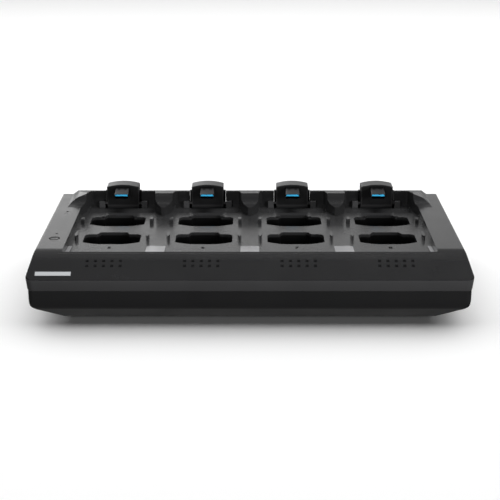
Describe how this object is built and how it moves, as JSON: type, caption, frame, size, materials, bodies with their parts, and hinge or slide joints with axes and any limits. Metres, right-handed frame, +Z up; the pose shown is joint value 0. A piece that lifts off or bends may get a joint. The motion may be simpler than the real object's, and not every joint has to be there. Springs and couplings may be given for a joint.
{
  "type": "docking charger",
  "caption": "Desktop docking charger with rows of deep transmitter wells, tilting connector towers behind them, charge lights in the sloped front and a boat-shaped base.",
  "frame": {"origin": "on the table, under the middle of the body", "axes": "+X to the right seen from the front, +Y to the rear, +Z up"},
  "size_m": [0.346, 0.184, 0.0702],
  "materials": {
    "cover_plastic": "fine moulded texture",
    "band_plastic": "satin",
    "tub_plastic": "fine moulded texture",
    "tray_plastic": "fine moulded texture",
    "well_plastic": "matt",
    "tower_plastic": "satin",
    "face_plastic": "matt",
    "block_plastic": "matt",
    "plug_metal": "bright nickel",
    "plug_blue": "satin",
    "gold_metal": "bright",
    "steel": "plain",
    "badge_silver": "satin",
    "smoked_lens": "smooth",
    "button_plastic": "satin",
    "board_green": "solder mask",
    "part_dark": "plain",
    "foot_rubber": "matt"
  },
  "bodies": {
    "housing": {"top_cover": "cover_plastic", "trim_band": "band_plastic", "bottom_tub": "tub_plastic", "bay_tray": "tray_plastic", "contact_barrels": "gold_metal", "hinge_blocks": "block_plastic", "hinge_pins": "steel", "tilt_springs": "steel", "charge_light_pipes": "smoked_lens", "light_board": "board_green", "status_lenses": "smoked_lens", "status_board": "board_green", "button_switch": "part_dark", "badge_plate": "badge_silver", "main_board": "board_green", "power_parts": "part_dark", "network_jack": "steel", "dc_inlet": "part_dark", "reset_switch": "part_dark", "rubber_feet": "foot_rubber", "case_screws": "steel", "board_screws": "steel", "tray_screws": "steel", "well_cups_1": "well_plastic", "well_cups_2": "well_plastic", "well_cups_3": "well_plastic", "well_cups_4": "well_plastic"},
    "tower_1": {"tower_shell_1": "tower_plastic", "tower_face_1": "face_plastic", "plug_shell_1": "plug_metal", "plug_tongue_1": "plug_blue", "plug_board_1": "board_green"},
    "tower_2": {"tower_shell_2": "tower_plastic", "tower_face_2": "face_plastic", "plug_shell_2": "plug_metal", "plug_tongue_2": "plug_blue", "plug_board_2": "board_green"},
    "tower_3": {"tower_shell_3": "tower_plastic", "tower_face_3": "face_plastic", "plug_shell_3": "plug_metal", "plug_tongue_3": "plug_blue", "plug_board_3": "board_green"},
    "tower_4": {"tower_shell_4": "tower_plastic", "tower_face_4": "face_plastic", "plug_shell_4": "plug_metal", "plug_tongue_4": "plug_blue", "plug_board_4": "board_green"},
    "contacts_1": {"charge_pins_1": "gold_metal"},
    "contacts_2": {"charge_pins_2": "gold_metal"},
    "contacts_3": {"charge_pins_3": "gold_metal"},
    "contacts_4": {"charge_pins_4": "gold_metal"},
    "contacts_5": {"charge_pins_5": "gold_metal"},
    "contacts_6": {"charge_pins_6": "gold_metal"},
    "contacts_7": {"charge_pins_7": "gold_metal"},
    "contacts_8": {"charge_pins_8": "gold_metal"},
    "link_press": {"link_button": "button_plastic"},
    "reset_press": {"reset_button": "part_dark"}
  },
  "joints": [
    {"name": "tower_tilt_1", "type": "hinge", "parent": "housing", "child": "tower_1", "pos_m": [-0.1131, 0.0805, 0.0518], "axis": [-1, 0, 0], "range_deg": [0, 15], "stiffness_Nm_per_rad": 0.3, "springref_deg": -5.73},
    {"name": "tower_tilt_2", "type": "hinge", "parent": "housing", "child": "tower_2", "pos_m": [-0.0377, 0.0805, 0.0518], "axis": [-1, 0, 0], "range_deg": [0, 15], "stiffness_Nm_per_rad": 0.3, "springref_deg": -5.73},
    {"name": "tower_tilt_3", "type": "hinge", "parent": "housing", "child": "tower_3", "pos_m": [0.0377, 0.0805, 0.0518], "axis": [-1, 0, 0], "range_deg": [0, 15], "stiffness_Nm_per_rad": 0.3, "springref_deg": -5.73},
    {"name": "tower_tilt_4", "type": "hinge", "parent": "housing", "child": "tower_4", "pos_m": [0.1131, 0.0805, 0.0518], "axis": [-1, 0, 0], "range_deg": [0, 15], "stiffness_Nm_per_rad": 0.3, "springref_deg": -5.73},
    {"name": "contacts_press_1", "type": "slide", "parent": "housing", "child": "contacts_1", "axis": [0, 0, -1], "range_m": [0, 0.0022], "stiffness_N_per_m": 200, "springref_m": -0.001},
    {"name": "contacts_press_2", "type": "slide", "parent": "housing", "child": "contacts_2", "axis": [0, 0, -1], "range_m": [0, 0.0022], "stiffness_N_per_m": 200, "springref_m": -0.001},
    {"name": "contacts_press_3", "type": "slide", "parent": "housing", "child": "contacts_3", "axis": [0, 0, -1], "range_m": [0, 0.0022], "stiffness_N_per_m": 200, "springref_m": -0.001},
    {"name": "contacts_press_4", "type": "slide", "parent": "housing", "child": "contacts_4", "axis": [0, 0, -1], "range_m": [0, 0.0022], "stiffness_N_per_m": 200, "springref_m": -0.001},
    {"name": "contacts_press_5", "type": "slide", "parent": "housing", "child": "contacts_5", "axis": [0, 0, -1], "range_m": [0, 0.0022], "stiffness_N_per_m": 200, "springref_m": -0.001},
    {"name": "contacts_press_6", "type": "slide", "parent": "housing", "child": "contacts_6", "axis": [0, 0, -1], "range_m": [0, 0.0022], "stiffness_N_per_m": 200, "springref_m": -0.001},
    {"name": "contacts_press_7", "type": "slide", "parent": "housing", "child": "contacts_7", "axis": [0, 0, -1], "range_m": [0, 0.0022], "stiffness_N_per_m": 200, "springref_m": -0.001},
    {"name": "contacts_press_8", "type": "slide", "parent": "housing", "child": "contacts_8", "axis": [0, 0, -1], "range_m": [0, 0.0022], "stiffness_N_per_m": 200, "springref_m": -0.001},
    {"name": "link_button_press", "type": "slide", "parent": "housing", "child": "link_press", "axis": [0, 0, -1], "range_m": [0, 0.0008], "stiffness_N_per_m": 300, "springref_m": -0.001},
    {"name": "reset_button_press", "type": "slide", "parent": "housing", "child": "reset_press", "axis": [0, -1, 0], "range_m": [0, 0.0008], "stiffness_N_per_m": 300, "springref_m": -0.001}
  ]
}
